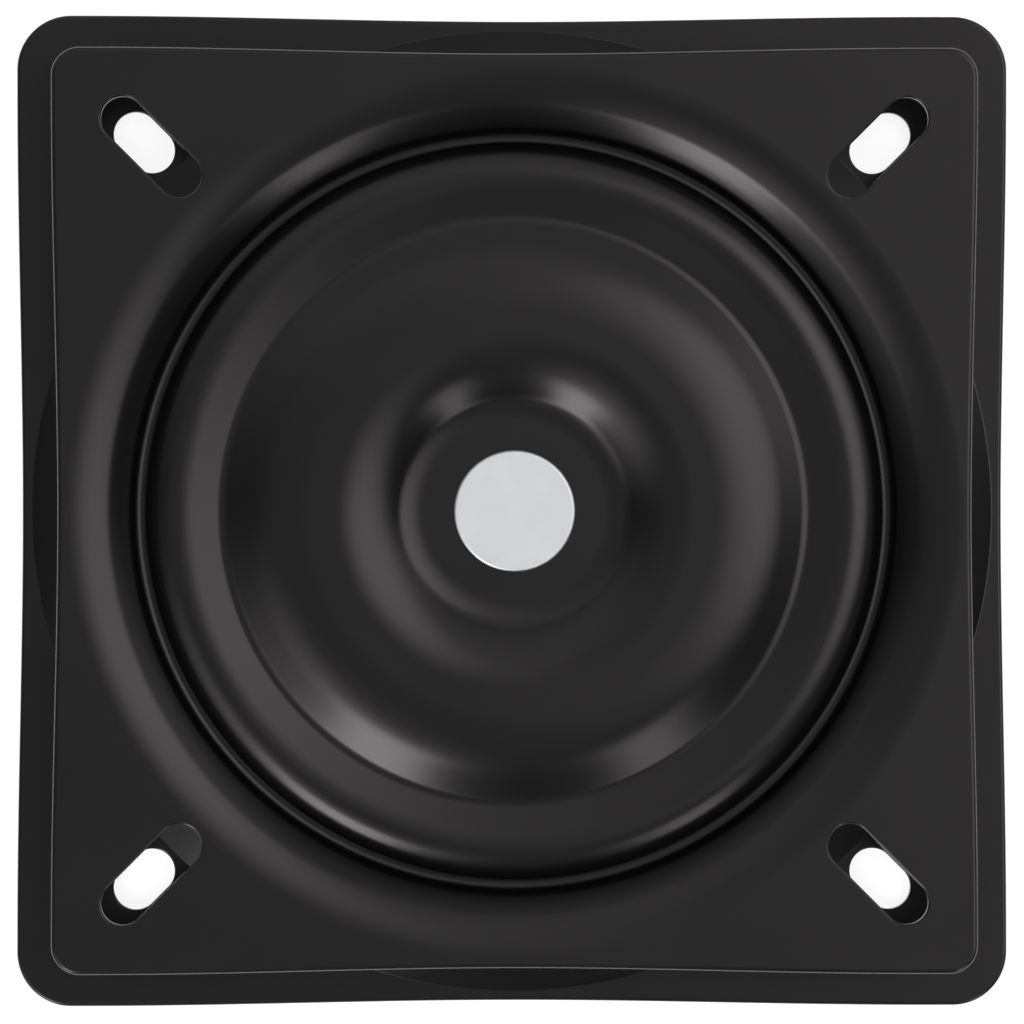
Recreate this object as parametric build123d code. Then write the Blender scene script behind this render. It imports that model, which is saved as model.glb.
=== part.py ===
from build123d import *
import math
import os

# Boat seat swivel, pressed from steel sheet.
# A square seat plate turns between two rows of caged balls. The rows run between a base plate and a
# round cap, which a rivet holds together. Lengths are in millimetres and angles in degrees.
# The swivel axis is +Z, and the base plate stands on z = 0.

# Sheet and overall size
sheet = 2.0
overall_height = 25.0

# Seat plate: the upper square, with its flat border on top
seat_slot_spacing = 128.6
seat_slot_margin = 17.7
seat_slot_width = 7.7
seat_slot_length = 22.0
seat_bow = 1.15
seat_corner_radius = 5.0
seat_edge_round = 0.8
seat_edge_land = 1.35
border_slope = 12.0
border_bend = 22.0
shoulder_slope = 44.0
shoulder_bend = 10.0
wall_slope = 85.0
wall_bend = 0.5
wall_straight = 1.9
groove_bend = 1.5
hump_slope = 18.0
hump_bend = 0.3
rim_slope = 38.0
rim_lip = 3.4

# Base plate: the lower square, with a cone in the middle that carries the cap
base_overhang = 7.15
base_slot_margin = 22.85
base_slot_width = 8.0
base_slot_length = 12.2
base_bow = 1.0
base_corner_radius = 9.7
base_edge_round = 1.5
base_edge_land = 1.8
base_shoulder_run = 12.5
base_foot_bend = 2.5
ridge_rise = 2.6
ridge_bend = 2.0
cone_slope = 22.0
cone_bend = 3.0

# Shared by both squares
bow_straight = 4.0
slot_edge_break = 0.35

# Straight left between two bends that follow each other
bend_spacing = 0.05

# Ball rows, with the wave in the rim that guides them
ball_diameter = 5.0
balls_per_row = 12
race_clearance = 0.15
track_relief = 0.55
track_slope = 25.0
track_spacing = 6.0
cage_thickness = 1.6
cage_back = 1.1
cage_reach = 2.0
pocket_clearance = 0.2

# Cap: the round dish in the middle
crest_recess = 3.5
edge_setback = 1.93
bead_room = 1.85
bead_reach = 5.85
bead_fall_slope = 62.0
bead_rise_slope = 11.0
bead_rise_bend = 12.0
bead_run = 7.94
valley_bend = 3.0
fall_slope = 28.0
fall_bend = 16.0
fall_straight = 3.6
dome_slope = 10.0
dome_bend = 36.0
rise_slope = 34.0
rise_bend = 17.0
rise_foot_bend = 5.0
hub_radius = 17.7
hub_slope = 12.0
hub_bend = 14.0

# Rivet
rivet_head_radius = 10.75
rivet_head_height = 1.2
rivet_head_round = 0.5
rivet_shank_radius = 7.0
rivet_tail_height = 1.5
rivet_fit = 0.05


def tan(angle):
    """Tangent of an angle in degrees."""
    return math.tan(math.radians(angle))


def over(inside_radius):
    """Top radius of a bend over a crest, where the underside of the sheet is the inside of the bend."""
    return inside_radius + sheet


def along(slope, run):
    """Step of a given length outwards and up a slope. Taken away from a corner, it leads inwards and down."""
    return Vector(run, 0).rotate(Axis.Z, slope)


def bend_reach(radius, turn):
    """How far a bend reaches from its sharp corner along the straight on each side."""
    return radius * tan(turn / 2)


def corner_offset(radius, inner_slope, outer_slope):
    """Place of a bend's sharp corner, out from and beyond the bend's highest or lowest point."""
    half_turn = (inner_slope + outer_slope) / 2
    middle = along((inner_slope - outer_slope) / 2, radius / math.cos(math.radians(half_turn)))
    return -middle.Y, middle.X - radius


# Heights, worked down from the seat face through the two ball rows to the base plate's track
ball_radius = ball_diameter / 2
row_height = ball_diameter + 2 * race_clearance
track_radius = ball_radius + race_clearance + track_relief
crest_shift, crest_gap = corner_offset(over(track_radius), track_slope, track_slope)
track_shift, track_gap = corner_offset(track_radius, track_slope, rim_slope)
wave_height = (track_spacing + track_shift) * tan(track_slope) - crest_gap - track_gap

seat_top = overall_height
cap_crest = seat_top - crest_recess
upper_trough = cap_crest - sheet - row_height
lower_crest = upper_trough + wave_height
base_track = lower_crest - sheet - row_height
upper_ball_z = upper_trough + row_height / 2
lower_ball_z = base_track + row_height / 2

# Corners of the seat plate's top line, from its border in and down to the groove beside the cap
seat_side = seat_slot_spacing + 2 * seat_slot_margin
border_reach = bend_reach(over(border_bend), border_slope)
shoulder_reach = bend_reach(over(shoulder_bend), shoulder_slope - border_slope)
wall_reach = bend_reach(over(wall_bend), wall_slope - shoulder_slope)
groove_reach = bend_reach(groove_bend, wall_slope + hump_slope)
border_corner = Vector(seat_side / 2 - seat_bow - seat_edge_land - border_reach, seat_top)
shoulder_corner = border_corner - along(border_slope, border_reach + bend_spacing + shoulder_reach)
wall_corner = shoulder_corner - along(shoulder_slope, shoulder_reach + bend_spacing + wall_reach)
groove_corner = wall_corner - along(wall_slope, wall_reach + wall_straight + groove_reach)

# Ball circles, and the hump that the rim forms between the upper track and the groove
cap_edge = groove_corner.X - edge_setback
bead_bend = ball_radius + race_clearance + bead_room
upper_race = cap_edge - bead_reach
lower_race = upper_race - track_spacing
track_corner = Vector(upper_race + track_shift, upper_trough - track_gap)
track_to_groove = groove_corner - track_corner
hump_run = (track_to_groove.Y + track_to_groove.X * tan(hump_slope)) / (tan(rim_slope) + tan(hump_slope))
hump_corner = track_corner + Vector(hump_run, hump_run * tan(rim_slope))

# Corners of the cap's top line, from its edge in and up to the raised ring, then down to the hub
bead_fall_reach = bend_reach(over(bead_bend), bead_fall_slope)
bead_rise_reach = bend_reach(over(bead_rise_bend), bead_rise_slope)
valley_reach = bend_reach(valley_bend, bead_rise_slope + fall_slope)
fall_reach = bend_reach(over(fall_bend), fall_slope - dome_slope)
dome_reach = bend_reach(over(dome_bend), dome_slope)
rise_reach = bend_reach(over(rise_bend), rise_slope)
rise_foot_reach = bend_reach(rise_foot_bend, rise_slope - hub_slope)
hub_reach = bend_reach(hub_bend, hub_slope)
bead_outer = Vector(upper_race + bead_fall_reach, cap_crest)
bead_inner = Vector(upper_race - bend_spacing - bead_rise_reach, cap_crest)
bead_rise_run = bead_inner.X - upper_race + bead_run
valley = bead_inner - Vector(bead_rise_run, bead_rise_run * tan(bead_rise_slope))
fall_corner = valley - along(-fall_slope, valley_reach + fall_straight + fall_reach)
dome_corner = fall_corner - along(-dome_slope, fall_reach + bend_spacing + dome_reach)
rise_step = along(rise_slope, rise_foot_reach + bend_spacing + rise_reach)
hub_step = along(hub_slope, hub_reach + bend_spacing + rise_foot_reach)
hub_corner = Vector(hub_radius, dome_corner.Y - rise_step.Y - hub_step.Y)
hub_top = hub_corner.Y
base_hub_top = hub_top - sheet

# Base plate, worked out from the seat plate's sides
base_side = seat_side + 2 * base_overhang
base_slot_spacing = base_side - 2 * base_slot_margin


def parallel_below(points, directions):
    """Corners of the line that runs one sheet thickness below a bent line."""
    downs = [Vector(direction.Y, -direction.X) for direction in directions]
    before = [downs[0]] + downs
    after = downs + [downs[-1]]
    return [point + (m + n) * (sheet / (1 + m.dot(n))) for point, m, n in zip(points, before, after)]


def pressed_sheet(top_line, bends):
    """Sheet of even thickness, turned about the axis.

    top_line is the bent line of its top face, from the centre outwards, and bends are the radii on
    the inside of each bend: the top where the line turns up, and the underside where it turns down.
    """
    points = [Vector(*point) for point in top_line]
    directions = [(end - start).normalized() for start, end in zip(points, points[1:])]
    turns_up = [one.cross(two).Z > 0 for one, two in zip(directions, directions[1:])]
    top_radii = [bend if up else over(bend) for bend, up in zip(bends, turns_up)]
    under_radii = [over(bend) if up else bend for bend, up in zip(bends, turns_up)]
    top = FilletPolyline(*points, radius=top_radii)
    under = FilletPolyline(*parallel_below(points, directions), radius=under_radii)
    ends = [Line(top @ 0, under @ 0), Line(top @ 1, under @ 1)]
    section = make_face(top.edges() + under.edges() + ends)
    return revolve(Plane.XZ * section, Axis.Z)


def square_outline(side, bow, corner_radius):
    """Square with rounded corners, whose sides are drawn in at the middle by the pressing."""
    half = side / 2
    reach = half - corner_radius - bow_straight
    border = Curve()
    for turn in range(4):
        run_in = Line((-half, -half), (-reach, -half))
        dip = Spline((-reach, -half), (0, bow - half), (reach, -half), tangents=((1, 0), (1, 0)))
        run_out = Line((reach, -half), (half, -half))
        border += (run_in + dip + run_out).rotate(Axis.Z, 90 * turn)
    square = make_face(border.edges())
    corners = square.vertices().sort_by(lambda corner: Vector(*corner).length)[-4:]
    return fillet(corners, corner_radius)


def diagonal_slots(spacing, width, length, face_z):
    """Four slots that point at the axis, with broken edges, in a sheet whose top is at face_z."""
    distance = spacing / math.sqrt(2)
    cuts = []
    for turn in range(4):
        place = Rot(0, 0, 45 + 90 * turn) * Pos(distance, 0, face_z)
        cuts.append(extrude(place * SlotOverall(length, width), amount=-2 * sheet))
        mouth = SlotOverall(length + 2 * slot_edge_break, width + 2 * slot_edge_break)
        cuts.append(extrude(place * mouth, amount=-slot_edge_break, taper=45))
    return cuts


def square_plate(blank, outline, edge_round, slots):
    """Trim a pressed round blank to its square outline, round its upper edge and cut its slots."""
    plate = blank & extrude(outline, amount=overall_height)
    flats = plate.faces().filter_by(Plane.XY).filter_by(lambda face: face.normal_at().Z > 0)
    border = flats.sort_by(SortBy.AREA)[-1]
    plate = fillet(border.outer_wire().edges(), edge_round)
    return plate - slots


def make_seat_plate():
    """Flat border on top, a shoulder down to a groove, and a wave in the rim for the two ball tracks."""
    top_line = [
        (lower_race - rim_lip, lower_crest + crest_gap - rim_lip * tan(track_slope)),
        (lower_race + crest_shift, lower_crest + crest_gap),
        track_corner,
        hump_corner,
        groove_corner,
        wall_corner,
        shoulder_corner,
        border_corner,
        (seat_side, seat_top),
    ]
    bends = [track_radius, track_radius, hump_bend, groove_bend, wall_bend, shoulder_bend, border_bend]
    slots = diagonal_slots(seat_slot_spacing, seat_slot_width, seat_slot_length, seat_top)
    blank = pressed_sheet(top_line, bends)
    outline = square_outline(seat_side, seat_bow, seat_corner_radius)
    return square_plate(blank, outline, seat_edge_round, slots)


def make_base_plate():
    """Flat border on the floor, a ridge, the lower ball track, and a cone up to the hub under the cap."""
    track_shift, track_gap = corner_offset(track_radius, cone_slope, cone_slope)
    track_z = base_track - track_gap
    ridge_top = base_track + ridge_rise
    ridge_inner = lower_race + (ridge_top - track_z) / tan(cone_slope)
    hub_corner = lower_race - (base_hub_top - track_z) / tan(cone_slope)
    foot_slope = math.degrees(math.atan2(ridge_top - sheet, base_shoulder_run))
    foot = base_side / 2 - base_bow - base_edge_land - base_foot_bend * tan(foot_slope / 2)
    top_line = [
        (rivet_shank_radius + rivet_fit, base_hub_top),
        (hub_corner, base_hub_top),
        (lower_race + track_shift, track_z),
        (ridge_inner, ridge_top),
        (foot - base_shoulder_run, ridge_top),
        (foot, sheet),
        (base_side, sheet),
    ]
    bends = [cone_bend, track_radius, ridge_bend, ridge_bend, base_foot_bend]
    slots = diagonal_slots(base_slot_spacing, base_slot_width, base_slot_length, sheet)
    blank = pressed_sheet(top_line, bends)
    outline = square_outline(base_side, base_bow, base_corner_radius)
    return square_plate(blank, outline, base_edge_round, slots)


def make_bearing_cap():
    """Sunken hub, domed ring, valley, then the bead over the upper balls with its edge turned down."""
    edge_z = cap_crest - (cap_edge - bead_outer.X) * tan(bead_fall_slope)
    top_line = [
        (rivet_shank_radius + rivet_fit, hub_top),
        hub_corner,
        hub_corner + hub_step,
        hub_corner + hub_step + rise_step,
        dome_corner,
        fall_corner,
        valley,
        bead_inner,
        bead_outer,
        (cap_edge, edge_z),
    ]
    bends = [
        hub_bend, rise_foot_bend, rise_bend, dome_bend, fall_bend, valley_bend, bead_rise_bend, bead_bend
    ]
    return pressed_sheet(top_line, bends)


def make_rivet():
    """Flat head in the hub, shank through the cap and the base plate, and the tail formed under the base."""
    head_top = hub_top + rivet_head_height
    tail_top = base_hub_top - sheet
    shank = Pos(0, 0, tail_top) * Cylinder(
        rivet_shank_radius, hub_top - tail_top, align=(Align.CENTER, Align.CENTER, Align.MIN)
    )
    head = Pos(0, 0, hub_top) * Cylinder(
        rivet_head_radius, rivet_head_height, align=(Align.CENTER, Align.CENTER, Align.MIN)
    )
    tail = Pos(0, 0, tail_top) * Cylinder(
        rivet_head_radius, rivet_tail_height, align=(Align.CENTER, Align.CENTER, Align.MAX)
    )
    rivet = shank + head + tail
    rims = rivet.edges().group_by(Axis.Z)
    return fillet(rims[-1] + rims[0], rivet_head_round)


def ball_places(race):
    """Centres of one row's balls, evenly spaced on a circle."""
    step = 360 / balls_per_row
    return [Rot(0, 0, step * index) * Pos(race, 0, 0) for index in range(balls_per_row)]


def make_cage(race, height):
    """Moulded ring with a pocket for each ball, open outwards so that the balls snap in."""
    outer = race + cage_reach
    inner = race - ball_radius - pocket_clearance - cage_back
    ring = Cylinder(outer, cage_thickness) - Cylinder(inner, cage_thickness)
    pockets = [place * Sphere(ball_radius + pocket_clearance) for place in ball_places(race)]
    return Pos(0, 0, height) * (ring - pockets)


os.makedirs("parts", exist_ok=True)

export_step(make_base_plate(), "parts/base_plate.step")
export_step(make_seat_plate(), "parts/seat_plate.step")
export_step(make_bearing_cap(), "parts/bearing_cap.step")
export_step(make_rivet(), "parts/center_rivet.step")

for row, race, height in (("upper", upper_race, upper_ball_z), ("lower", lower_race, lower_ball_z)):
    export_step(make_cage(race, height), f"parts/{row}_ball_cage.step")
    for number, place in enumerate(ball_places(race), start=1):
        ball = Pos(0, 0, height) * place * Sphere(ball_radius)
        export_step(ball, f"parts/{row}_ball_{number:02d}.step")
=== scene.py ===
# %% [markdown]
# # A boat seat swivel
# This small turntable bolts between a boat seat and its pedestal. Two square plates and a round cap are
# pressed from steel sheet and painted satin black. A bright rivet in the middle ties the cap to the lower
# plate, and the upper plate turns between the two on caged balls. The engineering model already fixes
# where each part sits and how it turns. It is loaded first as a frame that never moves, so that every
# piece modelled here can be measured from it.

# %% Load the frame
import bmesh
import bpy
import math
from mathutils import Matrix, Vector


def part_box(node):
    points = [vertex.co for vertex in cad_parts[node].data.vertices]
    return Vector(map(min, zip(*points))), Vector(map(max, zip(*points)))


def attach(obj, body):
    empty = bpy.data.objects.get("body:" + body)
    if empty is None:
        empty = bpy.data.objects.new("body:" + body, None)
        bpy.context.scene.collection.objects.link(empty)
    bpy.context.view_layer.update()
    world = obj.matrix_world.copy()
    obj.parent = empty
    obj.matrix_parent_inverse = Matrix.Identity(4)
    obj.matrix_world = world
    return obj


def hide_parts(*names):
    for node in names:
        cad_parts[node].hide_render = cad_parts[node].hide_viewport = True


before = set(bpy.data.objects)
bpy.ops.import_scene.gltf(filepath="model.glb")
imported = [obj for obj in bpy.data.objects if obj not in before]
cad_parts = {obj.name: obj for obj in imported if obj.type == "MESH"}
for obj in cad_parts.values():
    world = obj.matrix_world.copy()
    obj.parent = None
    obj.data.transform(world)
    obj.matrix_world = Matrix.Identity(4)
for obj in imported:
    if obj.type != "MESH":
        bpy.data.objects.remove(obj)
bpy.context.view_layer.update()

# %% [markdown]
# ## A line with bends
# A pressing is described by one line: straight runs joined by bends. Typing in every point of every bend
# would be slow to write and hard to change. Instead a single vertex is used as a pen that is told how far
# to run and how sharply to turn: extruding it draws a run, and spinning it about the centre of a bend
# draws the arc. A bend has a step every few degrees, and more where it is wide, so that its reflection
# stays smooth. The pen works flat, in X and Y, so that it can also draw outlines and slots. All drawing is
# done in millimetres.

# %% Draw runs and bends
mm = 0.001
bend_step = 4.0
longest_step = 0.4
fewest_steps = 3


def draw_path(bm, start, heading, legs):
    """Draw legs, each a run and then a turn to the left by radius and angle. Returns the new vertices."""
    known = set(bm.verts)
    pen = bmesh.ops.create_vert(bm, co=(*start, 0))["vert"][0]
    for run, radius, turn in legs:
        ahead = Matrix.Rotation(math.radians(heading), 3, "Z") @ Vector((1, 0, 0))
        if run:
            pen = bmesh.ops.extrude_vert_indiv(bm, verts=[pen])["verts"][0]
            pen.co += ahead * run
        if radius:
            left = Vector((-ahead.y, ahead.x, 0))
            centre = pen.co + left * math.copysign(radius, turn)
            bend = math.radians(turn)
            by_angle = round(abs(turn) / bend_step)
            by_length = round(radius * abs(bend) / longest_step)
            steps = max(fewest_steps, by_angle, by_length)
            spun = bmesh.ops.spin(bm, geom=[pen], cent=centre, axis=(0, 0, 1), angle=bend, steps=steps)
            pen = spun["geom_last"][0]
        heading += turn
    return [vert for vert in bm.verts if vert not in known]


trial = bmesh.new()
draw_path(trial, (0, 0), 0, [(10, 5, 90), (10, 0, 0)])
print("A square bend between two runs takes", len(trial.verts), "vertices")
trial.free()

# %% [markdown]
# ## From a line to a sheet
# The press forms a round shape in one stroke. Here the line is stood upright and spun about the swivel
# axis, which gives even rows of quads that follow the form, and the skin is then thickened below its top
# face. A Screw and a Solidify modifier would do the same, but the operators leave real edges that later
# steps can round off.

# %% Spin a skin and thicken it
sheet = 2.0
spin_steps = 192
weld = 0.001


def spin_skin(bm, start, heading, legs):
    """Make the top face of a round form from its line, drawn as radius and height."""
    draw_path(bm, start, heading, legs)
    upright = Matrix.Rotation(math.radians(90), 3, "X")
    bmesh.ops.rotate(bm, verts=bm.verts, cent=(0, 0, 0), matrix=upright)
    line = bm.verts[:] + bm.edges[:]
    full_turn = math.radians(360)
    bmesh.ops.spin(bm, geom=line, axis=(0, 0, 1), angle=full_turn, steps=spin_steps, use_merge=True)
    bmesh.ops.remove_doubles(bm, verts=bm.verts, dist=weld)


def thicken(bm):
    """Turn the skin's faces up and give it the thickness of the sheet."""
    bmesh.ops.recalc_face_normals(bm, faces=bm.faces)
    widest = max(bm.faces, key=lambda face: face.calc_area())
    if widest.normal.z < 0:
        bmesh.ops.reverse_faces(bm, faces=bm.faces)
    bm.normal_update()
    bmesh.ops.solidify(bm, geom=bm.faces[:], thickness=sheet)


print("Sheets are", sheet, "mm thick, spun in", spin_steps, "steps")

# %% [markdown]
# ## From a mesh to a piece
# Each finished mesh is scaled to metres, stands for one node of the frame and rides on that node's body.
# Its bends are shaded smooth, its cut edges stay sharp, and its level faces are shaded flat: otherwise the
# bend beside a flat would tilt the flat's normals and show as a smudge in its reflection. Where bends
# meet, a Weighted Normal modifier lets the larger face decide.

# %% Make a piece
cut_edge_angle = math.radians(35)
level_normal = 0.99999


def box_in_mm(node):
    """Lowest and highest corner of a node of the frame."""
    return [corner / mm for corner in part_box(node)]


def make_piece(bm, name, body, node):
    """Put the mesh into an object that stands for a node of the frame."""
    bm.normal_update()
    for face in bm.faces:
        face.smooth = abs(face.normal.z) < level_normal
    for edge in bm.edges:
        edge.smooth = edge.calc_face_angle(0) < cut_edge_angle
    bmesh.ops.scale(bm, verts=bm.verts, vec=(mm, mm, mm))
    mesh = bpy.data.meshes.new(name)
    bm.to_mesh(mesh)
    bm.free()
    piece = bpy.data.objects.new(name, mesh)
    bpy.context.scene.collection.objects.link(piece)
    piece.modifiers.new("larger face decides", "WEIGHTED_NORMAL").keep_sharp = True
    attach(piece, body)
    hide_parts(node)
    low, high = box_in_mm(node)
    made, wanted = [[round(value, 2) for value in size] for size in (piece.dimensions / mm, high - low)]
    print(name, "has", len(mesh.polygons), "faces and measures", made, "mm, its node", wanted, "mm")
    return piece


print("Edges sharper than", round(math.degrees(cut_edge_angle)), "degrees count as cut edges")

# %% [markdown]
# ## The cap
# The cap is the round dish in the middle. From the rivet outwards it has a sunken hub, a slope up to a
# raised ring that falls away like a dome, a fold, and a low bead whose edge turns down over the balls. A
# press draws soft forms more easily than sharp ones, so nearly all of the line is bends of large radius.
# They carry the highlights.

# %% Press the cap
base_high = box_in_mm("base_plate")[1]
hub_top = base_high.z + sheet
rivet_hole = 7.05

hub_floor = (9.18, 14.0, 12)
rise_foot = (0.05, 5.0, 22)
rise = (0.05, 19.0, -34)
raised_ring = (4.08, 38.0, -10)
dome = (0.05, 18.0, -18)
fold = (3.6, 3.0, 39)
bead = (4.25, 14.0, -11)
cap_edge = (0.05, 6.5, -45)
cap_lip = (1.7, 0, 0)
cap_legs = [hub_floor, rise_foot, rise, raised_ring, dome, fold, bead, cap_edge, cap_lip]

cap_bm = bmesh.new()
spin_skin(cap_bm, (rivet_hole, hub_top), 0, cap_legs)
thicken(cap_bm)
cap = make_piece(cap_bm, "painted_cap", "base", "bearing_cap")

# %% [markdown]
# ## Square borders and slots
# Outside its round form each plate is flat, trimmed to a square with rounded corners. Pressing draws the
# metal in, so the sides curve slightly inwards. The outline and the four diagonal slots are drawn with the
# same pen, and one fill closes the flat between them and the round form, which keeps the slots as clean
# holes.

# %% Draw an outline, slots and the flat between
side_cuts = 24
bow_straight = 4.0


def draw_outline(bm, half, corner_radius, bow, height):
    """Draw a square with rounded corners, and curve its sides inwards."""
    straight = half - corner_radius
    legs = [(straight, corner_radius, 90)] + [(2 * straight, corner_radius, 90)] * 3 + [(straight, 0, 0)]
    outline = draw_path(bm, (0, -half), 0, legs)
    bmesh.ops.translate(bm, verts=outline, vec=(0, 0, height))
    sides = [edge for edge in bm.edges if edge.is_wire and edge.calc_length() > corner_radius]
    bmesh.ops.subdivide_edges(bm, edges=sides, cuts=side_cuts)
    for vert in [vert for vert in bm.verts if vert.is_wire]:
        across = 0 if abs(vert.co.x) > abs(vert.co.y) else 1
        share = max(0, 1 - abs(vert.co[1 - across]) / (straight - bow_straight))
        pull = bow * share * share * (3 - 2 * share)
        vert.co[across] -= math.copysign(pull, vert.co[across])


def draw_slots(bm, spacing, width, length, height):
    """Draw four slots with round ends, each pointing at the axis."""
    side = width / 2
    straight = length / 2 - side
    legs = [(straight, side, 180), (2 * straight, side, 180), (straight, 0, 0)]
    for quarter in range(4):
        slot = draw_path(bm, (0, -side), 0, legs)
        turn = Matrix.Rotation(math.radians(45 + 90 * quarter), 4, "Z")
        place = Matrix.Translation((spacing / math.sqrt(2), 0, height))
        bmesh.ops.transform(bm, matrix=turn @ place, verts=slot)


def open_edges(bm, height):
    """Edges at one height that still want a face beside them."""
    level = [edge for edge in bm.edges if all(abs(vert.co.z - height) < weld for vert in edge.verts)]
    return [edge for edge in level if len(edge.link_faces) < 2]


def fill_border(bm, height):
    """Close the flat between the outline, the slots and the round form."""
    bmesh.ops.remove_doubles(bm, verts=bm.verts, dist=weld)
    bmesh.ops.triangle_fill(bm, use_beauty=True, edges=open_edges(bm, height))


print("Each side of a square is drawn in", side_cuts + 1, "steps")

# %% [markdown]
# ## Soft edges
# A sheared edge is never knife sharp, and paint rounds it further. The narrow line of light along an edge
# is what makes a plate look real, so the upper edges are beveled: the outlines by more than half a
# millimetre, and the mouths of the slots by about a third of one.

# %% Round the upper edges
slot_edge = 0.35
slot_edge_rows = 3
outline_edge_rows = 6


def upper_edges(bm, height, nearest, farthest):
    """Cut edges of the upper face whose distance from the middle of the square lies in a range."""
    cut = [edge for edge in bm.edges if edge.calc_face_angle(0) > cut_edge_angle]
    upper = [edge for edge in cut if all(abs(vert.co.z - height) < weld for vert in edge.verts)]
    return [edge for edge in upper if nearest < max(abs(value) for value in edge.verts[0].co.xy) < farthest]


def round_edges(bm, half, corner_radius, height, outline_round):
    """Bevel the mouths of the slots and the upper edge of the outline."""
    border = half - corner_radius
    mouths = (0, border, slot_edge, slot_edge_rows)
    outline = (border, 2 * half, outline_round, outline_edge_rows)
    for nearest, farthest, width, rows in (mouths, outline):
        edges = upper_edges(bm, height, nearest, farthest)
        bmesh.ops.bevel(
            bm, geom=edges, affect="EDGES", offset=width, offset_type="OFFSET", segments=rows,
            profile=0.5, material=-1, loop_slide=False,
        )


print("Slot mouths are softened by", slot_edge, "mm")

# %% [markdown]
# ## The seat plate
# The upper square carries the seat on its flat border. Drawn from the border inwards, a soft shoulder gets
# steeper as it goes down and turns over a small brow into a nearly upright wall. The narrow groove below
# it shows as a dark ring round the cap. Under the cap the rim rises over a hump and is pressed into a
# wave: its trough is the track of the upper balls, and its crest, seen from below, is the track of the
# lower ones.

# %% Press the seat plate
seat_high = box_in_mm("seat_plate")[1]
seat_half = seat_high.x
seat_top = seat_high.z
seat_bow = 1.15
seat_corner = 5.0
seat_edge = 0.8
seat_land = 1.35
seat_slot_spacing = 128.6
seat_slot_width = 7.7
seat_slot_length = 22.0

seat_border = (0, 19.34, 21)
shoulder = (0.05, 5.0, 14)
slope = (0.05, 18.31, 12)
brow = (0.05, 2.1, 41)
wall_foot = (1.765, 0.5, -41)
groove = (0.05, 1.9, -65)
hump = (0.171, 2.3, 56)
upper_track = (2.2, 3.2, -63)
rim_crest = (2.703, 5.2, 50)
rim_lip = (1.327, 0, 0)
seat_legs = [seat_border, shoulder, slope, brow, wall_foot, groove, hump, upper_track, rim_crest, rim_lip]

seat_bm = bmesh.new()
spin_skin(seat_bm, (seat_half - seat_bow - seat_land, seat_top), 180, seat_legs)
trough = min(vert.co.z for vert in seat_bm.verts)
print("Upper balls clear their track by", round(box_in_mm("upper_ball_01")[0].z - trough, 3), "mm")
draw_outline(seat_bm, seat_half, seat_corner, seat_bow, seat_top)
draw_slots(seat_bm, seat_slot_spacing, seat_slot_width, seat_slot_length, seat_top)
fill_border(seat_bm, seat_top)
thicken(seat_bm)
round_edges(seat_bm, seat_half, seat_corner, seat_top, seat_edge)
seat = make_piece(seat_bm, "painted_seat_plate", "seat", "seat_plate")

# %% [markdown]
# ## The base plate
# The lower square lies on the pedestal. Its round form starts at the border with a crisp bend, rises to a
# ridge, dips into the track of the lower balls, and climbs a cone to the hub under the cap. Most of it is
# hidden, but its border frames the seat plate and its shorter slots show through the upper ones.

# %% Press the base plate
base_half = base_high.x
base_bow = 1.0
base_corner = 9.7
base_edge = 0.6
base_land = 1.587
base_slot_spacing = 132.6
base_slot_width = 8.0
base_slot_length = 12.2

foot = (0, 0.5, -37.03)
ridge_outside = (14.151, 4.0, 37.03)
ridge_inside = (11.0, 4.0, 22)
lower_track = (5.541, 3.2, -44)
cone = (24.217, 5.0, 22)
base_hub = (21.145, 0, 0)
base_legs = [foot, ridge_outside, ridge_inside, lower_track, cone, base_hub]

base_bm = bmesh.new()
spin_skin(base_bm, (base_half - base_bow - base_land, sheet), 180, base_legs)
draw_outline(base_bm, base_half, base_corner, base_bow, sheet)
draw_slots(base_bm, base_slot_spacing, base_slot_width, base_slot_length, sheet)
fill_border(base_bm, sheet)
thicken(base_bm)
round_edges(base_bm, base_half, base_corner, sheet, base_edge)
base = make_piece(base_bm, "painted_base_plate", "base", "base_plate")

# %% [markdown]
# ## The rivet
# A rivet starts as a headed pin. It goes up through the base plate and the cap, and a press spreads its
# other end into a second head. Its line starts and ends on the axis, so the spin leaves a point at each
# end, and welding the doubles closes them.

# %% Turn the rivet
rivet_low, rivet_high = box_in_mm("center_rivet")
rivet_shank = 7.0
rivet_round = 0.5
rivet_flat = rivet_high.x - rivet_round
under_head = rivet_high.x - rivet_shank
tail_side = base_high.z - sheet - rivet_low.z - rivet_round
head_side = rivet_high.z - hub_top - rivet_round

tail = [(rivet_flat, rivet_round, 90), (tail_side, 0, 90), (under_head, 0, -90)]
shank = [(hub_top - base_high.z + sheet, 0, -90)]
head = [(under_head, 0, 90), (head_side, rivet_round, 90), (rivet_flat, 0, 0)]

rivet_bm = bmesh.new()
spin_skin(rivet_bm, (0, rivet_low.z), 0, tail + shank + head)
bmesh.ops.recalc_face_normals(rivet_bm, faces=rivet_bm.faces)
rivet = make_piece(rivet_bm, "zinc_rivet", "base", "center_rivet")

# %% [markdown]
# ## Mottle and grain
# No finish is even. It varies slowly, over millimetres to centimetres, and finely, over about a millimetre
# or less. Every finish here needs both, so they are one node group with its own scales, and each material
# decides what the two masks change. They read Object coordinates, so a pattern stays on its piece when the
# plate turns.

# %% Build the mottle and grain group
noise_low = 0.3
noise_high = 0.7
noise_detail = {"Mottle": 4.0, "Grain": 2.0}


def shader_group(name, inputs, outputs):
    """Make an empty node group with number inputs and outputs."""
    group = bpy.data.node_groups.new(name, "ShaderNodeTree")
    for label, value in inputs.items():
        group.interface.new_socket(label, in_out="INPUT", socket_type="NodeSocketFloat").default_value = value
    for label in outputs:
        group.interface.new_socket(label, in_out="OUTPUT", socket_type="NodeSocketFloat")
    return group


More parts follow.
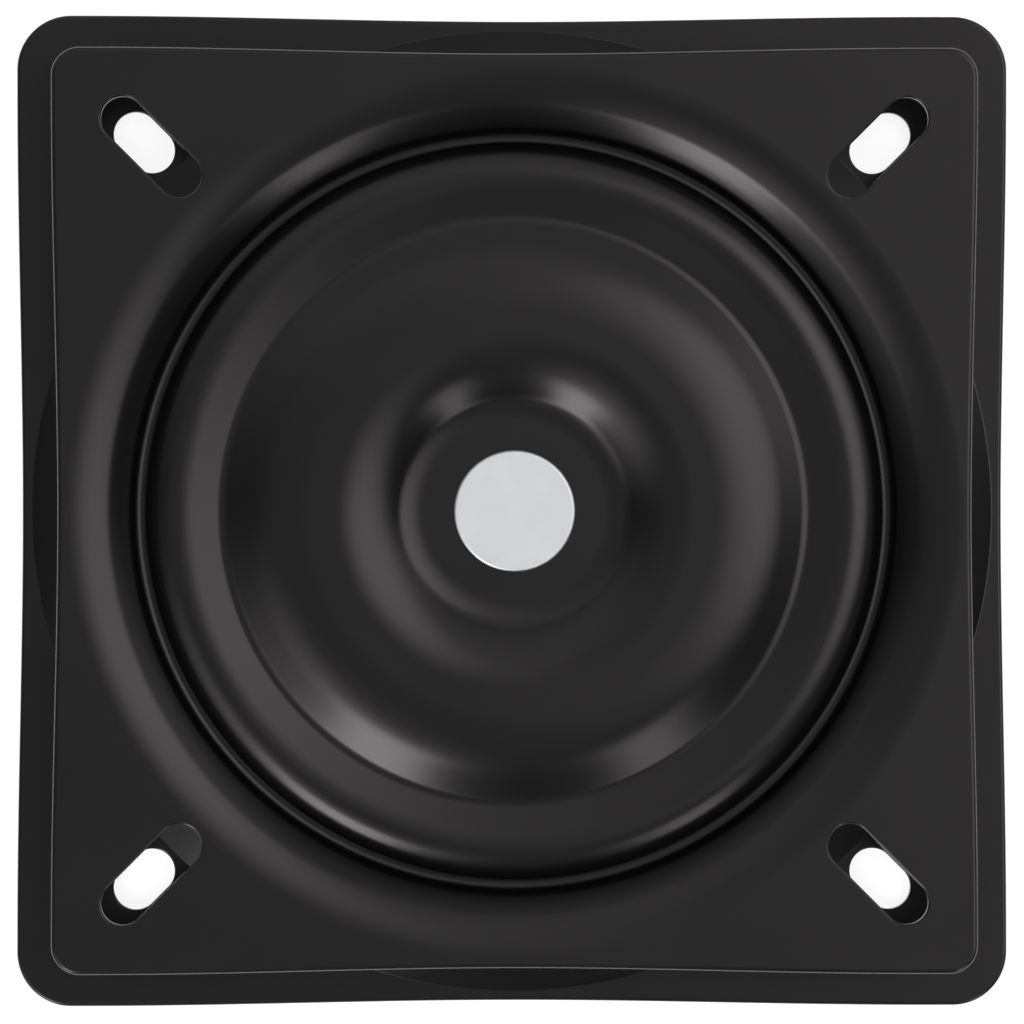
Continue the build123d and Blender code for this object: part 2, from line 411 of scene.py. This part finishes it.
def build_mottle():
    """Two masks from 0 to 1: a slow mottle and a fine grain."""
    scales = {"Mottle Scale": 40.0, "Grain Scale": 900.0}
    group = shader_group("mottle and grain", scales, noise_detail)
    nodes, links = group.nodes, group.links
    ends_in = nodes.new("NodeGroupInput")
    ends_out = nodes.new("NodeGroupOutput")
    place = nodes.new("ShaderNodeTexCoord")
    for label, detail in noise_detail.items():
        noise = nodes.new("ShaderNodeTexNoise")
        noise.inputs["Detail"].default_value = detail
        links.new(place.outputs["Object"], noise.inputs["Vector"])
        links.new(ends_in.outputs[label + " Scale"], noise.inputs["Scale"])
        stretch = nodes.new("ShaderNodeMapRange")
        stretch.inputs["From Min"].default_value = noise_low
        stretch.inputs["From Max"].default_value = noise_high
        links.new(noise.outputs["Fac"], stretch.inputs["Value"])
        links.new(stretch.outputs["Result"], ends_out.inputs[label])
    return group


mottle_group = build_mottle()
print("Group:", mottle_group.name, [socket.name for socket in mottle_group.interface.items_tree])

# %% [markdown]
# ## Building a finish
# Each material starts the same way: a Principled shader fed by the masks. A mask is turned into a colour,
# or into a roughness, by giving its two ends. Anything that is the same all over the piece stays a plain
# value on the shader itself.

# %% Helpers for finishes
def start_finish(name, mottle_scale, grain_scale):
    """New material with a Principled shader and the two masks."""
    material = bpy.data.materials.new(name)
    material.use_nodes = True
    nodes = material.node_tree.nodes
    masks = nodes.new("ShaderNodeGroup")
    masks.node_tree = mottle_group
    masks.inputs["Mottle Scale"].default_value = mottle_scale
    masks.inputs["Grain Scale"].default_value = grain_scale
    return material, nodes["Principled BSDF"], masks


def colour_between(material, mask, low, high, target):
    """Drive a colour socket by a mask."""
    mix = material.node_tree.nodes.new("ShaderNodeMix")
    mix.data_type = "RGBA"
    mix.inputs["A"].default_value = (*low, 1)
    mix.inputs["B"].default_value = (*high, 1)
    material.node_tree.links.new(mask, mix.inputs["Factor"])
    material.node_tree.links.new(mix.outputs["Result"], target)


def value_between(material, mask, low, high, target):
    """Drive a number socket by a mask."""
    span = material.node_tree.nodes.new("ShaderNodeMapRange")
    span.inputs["To Min"].default_value = low
    span.inputs["To Max"].default_value = high
    material.node_tree.links.new(mask, span.inputs["Value"])
    material.node_tree.links.new(span.outputs["Result"], target)


def bump(material, height, depth, shader):
    """Raise the surface by a mask, as deep as given."""
    relief = material.node_tree.nodes.new("ShaderNodeBump")
    relief.inputs["Strength"].default_value = 1.0
    relief.inputs["Distance"].default_value = depth
    material.node_tree.links.new(height, relief.inputs["Height"])
    material.node_tree.links.new(relief.outputs["Normal"], shader.inputs["Normal"])


print("Finishes start from", mottle_group.name)

# %% [markdown]
# ## Satin black paint
# The plates and the cap are powder coated. The colour is close to black, so nearly all that is seen is the
# reflection on top of it: softened, but still with edges. A faint ripple left by the flowing powder keeps
# the reflections from looking like glass.

# %% Paint
paint, paint_shader, paint_masks = start_finish("satin black paint", mottle_scale=35.0, grain_scale=700.0)
paint_mottle = paint_masks.outputs["Mottle"]
deep_black = (0.0032, 0.003, 0.003)
soft_black = (0.0042, 0.0039, 0.0039)
warm_sheen = (1.0, 0.945, 0.965, 1)
paint_ripple = 0.0015 * mm
colour_between(paint, paint_mottle, deep_black, soft_black, paint_shader.inputs["Base Color"])
value_between(paint, paint_mottle, 0.235, 0.265, paint_shader.inputs["Roughness"])
bump(paint, paint_masks.outputs["Grain"], paint_ripple, paint_shader)
paint_shader.inputs["Specular Tint"].default_value = warm_sheen

for piece in (cap, seat, base):
    piece.data.materials.append(paint)
print("Paint on", [piece.name for piece in (cap, seat, base)])

# %% [markdown]
# ## Zinc, bearing steel and nylon
# The rivet is plated with bright zinc, which looks white and slightly cloudy. The balls are polished steel
# and the cages are moulded in natural nylon. The balls and cages keep the meshes of the frame, which are
# already as round as they need to be, and only take on a finish.

# %% Metals and nylon
zinc, zinc_shader, zinc_masks = start_finish("bright zinc plate", mottle_scale=160.0, grain_scale=1500.0)
zinc_mottle = zinc_masks.outputs["Mottle"]
cloudy_zinc = (0.83, 0.84, 0.855)
clear_zinc = (0.87, 0.875, 0.885)
zinc_grain = 0.002 * mm
colour_between(zinc, zinc_mottle, cloudy_zinc, clear_zinc, zinc_shader.inputs["Base Color"])
value_between(zinc, zinc_mottle, 0.46, 0.56, zinc_shader.inputs["Roughness"])
bump(zinc, zinc_masks.outputs["Grain"], zinc_grain, zinc_shader)
zinc_shader.inputs["Metallic"].default_value = 1.0
rivet.data.materials.append(zinc)

steel, steel_shader, steel_masks = start_finish(
    "polished bearing steel", mottle_scale=300.0, grain_scale=3000.0
)
steel_mottle = steel_masks.outputs["Mottle"]
grey_steel = (0.52, 0.52, 0.53)
bright_steel = (0.6, 0.6, 0.6)
colour_between(steel, steel_mottle, grey_steel, bright_steel, steel_shader.inputs["Base Color"])
value_between(steel, steel_masks.outputs["Grain"], 0.08, 0.16, steel_shader.inputs["Roughness"])
steel_shader.inputs["Metallic"].default_value = 1.0

nylon, nylon_shader, nylon_masks = start_finish("natural nylon", mottle_scale=90.0, grain_scale=1800.0)
nylon_mottle = nylon_masks.outputs["Mottle"]
cream_nylon = (0.76, 0.73, 0.65)
pale_nylon = (0.83, 0.81, 0.74)
nylon_grain = 0.004 * mm
colour_between(nylon, nylon_mottle, cream_nylon, pale_nylon, nylon_shader.inputs["Base Color"])
value_between(nylon, nylon_masks.outputs["Grain"], 0.42, 0.55, nylon_shader.inputs["Roughness"])
bump(nylon, nylon_masks.outputs["Grain"], nylon_grain, nylon_shader)

for name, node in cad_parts.items():
    if "ball" in name:
        node.data.materials.clear()
        node.data.materials.append(nylon if name.endswith("cage") else steel)
print("Rows:", sum("ball_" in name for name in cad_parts), "nodes of steel and nylon")

# %% [markdown]
# ## The floor
# The swivel lies on a plain white sweep. Lighting a floor until it is white would flood the black paint
# with light, so most of its white is a glow that only the camera and reflections see. The rest comes from
# the lamps and the room, so the swivel still casts a faint shadow.

# %% Lay the floor
floor_half = 3.0
floor_gap = 0.2 * mm
floor_grey = (0.4, 0.4, 0.4, 1)
floor_glow = 0.86
white = (1, 1, 1, 1)
floor_bm = bmesh.new()
bmesh.ops.create_grid(floor_bm, x_segments=1, y_segments=1, size=floor_half)
bmesh.ops.translate(floor_bm, verts=floor_bm.verts, vec=(0, 0, -floor_gap))
floor_mesh = bpy.data.meshes.new("floor")
floor_bm.to_mesh(floor_mesh)
floor_bm.free()
floor = bpy.data.objects.new("floor", floor_mesh)
bpy.context.scene.collection.objects.link(floor)


def seen_directly(tree):
    """1 where the camera, a reflection or a clear material looks, and 0 for the light sent on."""
    path = tree.nodes.new("ShaderNodeLightPath")
    either = path.outputs["Is Camera Ray"]
    for label in ("Is Glossy Ray", "Is Transmission Ray"):
        join = tree.nodes.new("ShaderNodeMath")
        join.operation = "MAXIMUM"
        tree.links.new(either, join.inputs[0])
        tree.links.new(path.outputs[label], join.inputs[1])
        either = join.outputs["Value"]
    return either


floor_finish = bpy.data.materials.new("white sweep")
floor_finish.use_nodes = True
floor_shader = floor_finish.node_tree.nodes["Principled BSDF"]
floor_shader.inputs["Base Color"].default_value = floor_grey
floor_shader.inputs["Roughness"].default_value = 1.0
floor_shader.inputs["Specular IOR Level"].default_value = 0.0
floor_shader.inputs["Emission Color"].default_value = white
glow = floor_finish.node_tree.nodes.new("ShaderNodeMath")
glow.operation = "MULTIPLY"
glow.inputs[1].default_value = floor_glow
floor_finish.node_tree.links.new(seen_directly(floor_finish.node_tree), glow.inputs[0])
floor_finish.node_tree.links.new(glow.outputs["Value"], floor_shader.inputs["Emission Strength"])
floor_mesh.materials.append(floor_finish)
print("Floor:", floor_half * 2, "m wide")

# %% [markdown]
# ## Studio light
# Black paint shows the room, so the lights are placed by where their reflections fall. Two tall softboxes
# stand in front, the left one brighter: they make the pairs of soft patches on the slopes. Each is placed
# by its direction and set by how bright its face looks, which is what a reflection shows. Its power then
# follows from its size.

# %% Hang the softboxes
def softbox(name, azimuth, zenith, distance, width, height, brightness):
    """Area lamp aimed at the swivel. Brightness is how bright its face looks, where 1 is white."""
    lamp = bpy.data.lights.new(name, "AREA")
    lamp.shape = "RECTANGLE"
    lamp.size = width
    lamp.size_y = height
    lamp.energy = brightness * math.pi * width * height
    holder = bpy.data.objects.new(name, lamp)
    turn = Matrix.Rotation(math.radians(azimuth), 4, "Z")
    tilt = Matrix.Rotation(math.radians(zenith), 4, "Y")
    face_up = Matrix.Rotation(math.radians(90), 4, "Z")
    holder.matrix_world = turn @ tilt @ Matrix.Translation((0, 0, distance)) @ face_up
    bpy.context.scene.collection.objects.link(holder)
    print(name, "at", [round(value, 2) for value in holder.matrix_world.translation])


softbox(
    "front left softbox", azimuth=-119, zenith=61.6, distance=1.3, width=0.39, height=0.88, brightness=5.2
)
softbox(
    "front right softbox", azimuth=-58.9, zenith=60.7, distance=1.3, width=0.27, height=0.93, brightness=2.4
)

# %% [markdown]
# ## The room
# Between the lamps the paint mirrors the room. A picture of a room would need an image file, so it is
# built from a few gradients: walls that get brighter towards the back, a pale ceiling, a dark band above
# the floor, and soft glows where light comes back from screens and panels.

# %% Light the room
world = bpy.data.worlds.new("room")
bpy.context.scene.world = world
world.use_nodes = True
room = world.node_tree
direction = room.nodes.new("ShaderNodeTexCoord").outputs["Generated"]
parts = room.nodes.new("ShaderNodeSeparateXYZ")
room.links.new(direction, parts.inputs["Vector"])


def fade(along, start, end, low, high):
    """Brightness that goes smoothly from low to high while a value goes from start to end."""
    span = room.nodes.new("ShaderNodeMapRange")
    span.interpolation_type = "SMOOTHSTEP"
    for label, value in (("From Min", start), ("From Max", end), ("To Min", low), ("To Max", high)):
        span.inputs[label].default_value = value
    room.links.new(along, span.inputs["Value"])
    return span.outputs["Result"]


def soft_glow(azimuth, zenith, reach, brightness):
    """Round glow on the walls, brightest in one direction and gone at an angle from it."""
    turn = Matrix.Rotation(math.radians(azimuth), 3, "Z")
    tilt = Matrix.Rotation(math.radians(zenith), 3, "Y")
    nearness = room.nodes.new("ShaderNodeVectorMath")
    nearness.operation = "DOT_PRODUCT"
    nearness.inputs[1].default_value = turn @ tilt @ Vector((0, 0, 1))
    room.links.new(direction, nearness.inputs[0])
    return fade(nearness.outputs["Value"], math.cos(math.radians(reach)), 1.0, 0.0, brightness)


def combine(operation, one, other):
    """Join two brightnesses."""
    join = room.nodes.new("ShaderNodeMath")
    join.operation = operation
    room.links.new(one, join.inputs[0])
    room.links.new(other, join.inputs[1])
    return join.outputs["Value"]


walls = fade(parts.outputs["Y"], start=0.0, end=0.63, low=0.155, high=0.61)
ceiling = fade(parts.outputs["Z"], start=0.74, end=1.0, low=0.0, high=0.2)
above_floor = fade(parts.outputs["Z"], start=0.0, end=0.685, low=0.3, high=1.0)
brightness = combine("MULTIPLY", combine("ADD", walls, ceiling), above_floor)
glows = {
    "screen high on the right": soft_glow(azimuth=14.7, zenith=32.9, reach=31, brightness=1.7),
    "panel behind on the right": soft_glow(azimuth=26, zenith=69, reach=27, brightness=0.33),
    "wall on the left": soft_glow(azimuth=-137, zenith=62, reach=35.6, brightness=0.43),
    "halo of the left softbox": soft_glow(azimuth=-132, zenith=44, reach=26.5, brightness=0.71),
}
for glow_strength in glows.values():
    brightness = combine("ADD", brightness, glow_strength)
background = room.nodes["Background"]
background.inputs["Color"].default_value = white
room.links.new(brightness, background.inputs["Strength"])
bpy.context.scene.view_settings.view_transform = "Standard"
print("Room: walls, ceiling and", list(glows))

# %% [markdown]
# ## The camera
# The picture is taken from straight above, about 1.2 metres away and a little to the left, so the sides of
# the plates hardly show. With no turn at all a Blender camera looks down with +Y at the top of the
# picture, so it only needs a small tilt towards the middle. A long lens keeps the plates square.

# %% Place the camera
camera_place = Vector((-0.024, 0.0, 1.225))
camera_aim = Vector((-0.00045, -0.0002, 0.02))
long_lens = 238.7
camera_data = bpy.data.cameras.new("camera")
camera_data.sensor_width = 36
camera_data.lens = long_lens
camera = bpy.data.objects.new("camera", camera_data)
camera.location = camera_place
away = camera_place - camera_aim
camera.rotation_euler = (-math.atan2(away.y, away.z), math.atan2(away.x, away.z), 0)
bpy.context.scene.collection.objects.link(camera)
bpy.context.scene.camera = camera
print("Camera", round(away.length, 3), "m from the swivel")
